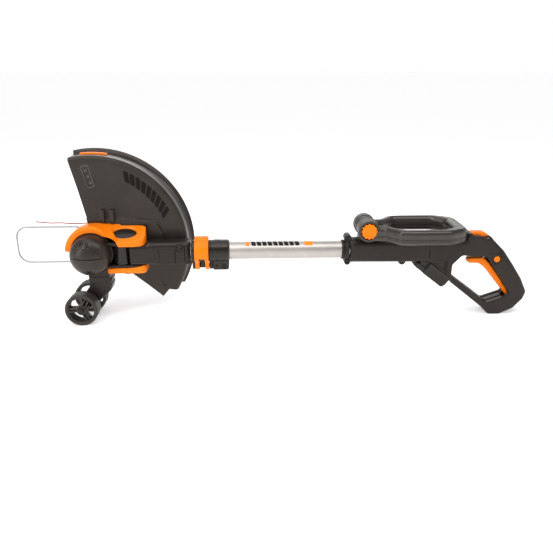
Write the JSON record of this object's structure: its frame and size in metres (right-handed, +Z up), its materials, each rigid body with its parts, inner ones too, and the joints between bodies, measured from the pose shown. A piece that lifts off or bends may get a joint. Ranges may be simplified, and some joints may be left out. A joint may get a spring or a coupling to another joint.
{
  "type": "lawn edger",
  "caption": "Cordless lawn edger with a telescopic shaft, tilting motor head, half-round guard, wire guard, two guide wheels, folding front handle and loop rear handle.",
  "frame": {"origin": "centre of the bounding box's base, on the surface that the wheels and the rear handle's heel stand on", "axes": "+X along the shaft from the cutting head to the rear handle, +Y towards the guard side, +Z up"},
  "size_m": [0.912, 0.135, 0.288],
  "materials": {
    "housing_plastic": "fine spark-eroded texture",
    "guard_plastic": "satin moulded",
    "dark_plastic": "satin",
    "wheel_plastic": "satin",
    "grip_plastic": "satin",
    "orange_plastic": "satin gloss",
    "tube_aluminium": "satin anodised",
    "steel": "bright zinc",
    "contact_brass": "bright",
    "nylon_line": "gloss"
  },
  "bodies": {
    "handle": {"outer_tube": "tube_aluminium", "collar": "housing_plastic", "collar_screws": "steel", "lever_pin": "steel", "front_flange": "housing_plastic", "handle_near": "housing_plastic", "handle_far": "housing_plastic", "housing_screws": "steel", "trigger_pin": "steel", "trigger_spring": "steel", "thumb_spring": "steel", "power_switch": "dark_plastic", "battery_dock": "housing_plastic", "terminal_block": "contact_brass", "front_handle_mount": "housing_plastic", "front_handle_bolt": "steel"},
    "lock_lever": {"lock_lever": "orange_plastic"},
    "trigger": {"trigger": "orange_plastic"},
    "thumb_button": {"thumb_button": "orange_plastic"},
    "side_button": {"side_button": "orange_plastic"},
    "front_handle": {"front_handle_loop": "grip_plastic", "knob_spring": "steel"},
    "front_knob": {"front_handle_knob": "orange_plastic"},
    "tube_bush": {"tube_bush": "dark_plastic"},
    "arm": {"pivot_barrel": "housing_plastic", "arm_near": "housing_plastic", "arm_far": "housing_plastic", "arm_screws": "steel", "inner_tube": "tube_aluminium", "tube_plug": "dark_plastic"},
    "head": {"head_base": "housing_plastic", "motor_dome": "housing_plastic", "trim_cover": "orange_plastic", "pivot_cover": "orange_plastic", "pivot_cap": "dark_plastic", "pivot_pin": "steel", "tilt_spring": "steel", "motor_can": "steel", "motor_bearings": "steel", "rear_plate": "guard_plastic", "head_screws": "steel", "guard": "guard_plastic", "cutter_blade": "steel", "blade_cover": "orange_plastic", "wheel_bracket": "housing_plastic", "axle": "steel", "axle_caps": "dark_plastic"},
    "tilt_button": {"tilt_button": "dark_plastic"},
    "line_head": {"motor_shaft": "steel", "motor_rotor": "dark_plastic", "line_head": "dark_plastic", "spool": "dark_plastic", "line_coil": "nylon_line", "spool_cap": "dark_plastic", "eyelets": "steel", "cutting_line": "nylon_line"},
    "wire_guard": {"wire_guard": "steel"},
    "wheel_near": {"wheel_near": "wheel_plastic"},
    "wheel_far": {"wheel_far": "wheel_plastic"}
  },
  "joints": [
    {"name": "shaft_telescope", "type": "slide", "parent": "handle", "child": "tube_bush", "axis": [-1, 0, 0], "range_m": [0, 0.25]},
    {"name": "shaft_twist", "type": "hinge", "parent": "tube_bush", "child": "arm", "pos_m": [-0.0086, -0.0075, 0.12], "axis": [1, 0, 0], "range_deg": [-90, 0]},
    {"name": "head_tilt", "type": "hinge", "parent": "arm", "child": "head", "pos_m": [-0.2586, -0.0075, 0.12], "axis": [0, 0, 1], "range_deg": [0, 75]},
    {"name": "tilt_release", "type": "slide", "parent": "head", "child": "tilt_button", "axis": [0, 0, -1], "range_m": [0, 0.003], "stiffness_N_per_m": 400, "springref_m": -0.003, "deforming": ["tilt_spring"]},
    {"name": "wire_guard_swing", "type": "hinge", "parent": "head", "child": "wire_guard", "pos_m": [-0.3206, 0.0235, 0.12], "axis": [0, 0, 1], "range_deg": [-90, 0]},
    {"name": "line_spin", "type": "hinge", "parent": "head", "child": "line_head", "pos_m": [-0.3086, 0.0425, 0.12], "axis": [0, 1, 0], "continuous": true},
    {"name": "near_wheel_roll", "type": "hinge", "parent": "head", "child": "wheel_near", "pos_m": [-0.3281, -0.0425, 0.028], "axis": [0, 1, 0], "continuous": true},
    {"name": "far_wheel_roll", "type": "hinge", "parent": "head", "child": "wheel_far", "pos_m": [-0.3281, 0.0275, 0.028], "axis": [0, 1, 0], "continuous": true},
    {"name": "lock_lever_open", "type": "hinge", "parent": "handle", "child": "lock_lever", "pos_m": [-0.1216, -0.0075, 0.093], "axis": [1, 0, 0], "range_deg": [0, 100]},
    {"name": "front_handle_fold", "type": "hinge", "parent": "handle", "child": "front_handle", "pos_m": [0.1644, -0.0075, 0.1592], "axis": [0, -1, 0], "range_deg": [0, 120]},
    {"name": "front_knob_press", "type": "slide", "parent": "front_handle", "child": "front_knob", "axis": [0, 1, 0], "range_m": [0, 0.0025], "stiffness_N_per_m": 500, "springref_m": -0.003, "deforming": ["knob_spring"]},
    {"name": "trigger_pull", "type": "hinge", "parent": "handle", "child": "trigger", "pos_m": [0.4274, -0.0075, 0.031], "axis": [0, 1, 0], "range_deg": [0, 5], "stiffness_Nm_per_rad": 3, "springref_deg": -5.73, "deforming": ["trigger_spring"]},
    {"name": "thumb_press", "type": "slide", "parent": "handle", "child": "thumb_button", "axis": [0, 0, -1], "range_m": [0, 0.0025], "stiffness_N_per_m": 500, "springref_m": -0.003, "deforming": ["thumb_spring"]},
    {"name": "side_press", "type": "slide", "parent": "handle", "child": "side_button", "axis": [0, 1, 0], "range_m": [0, 0.002], "stiffness_N_per_m": 500, "springref_m": -0.003}
  ]
}
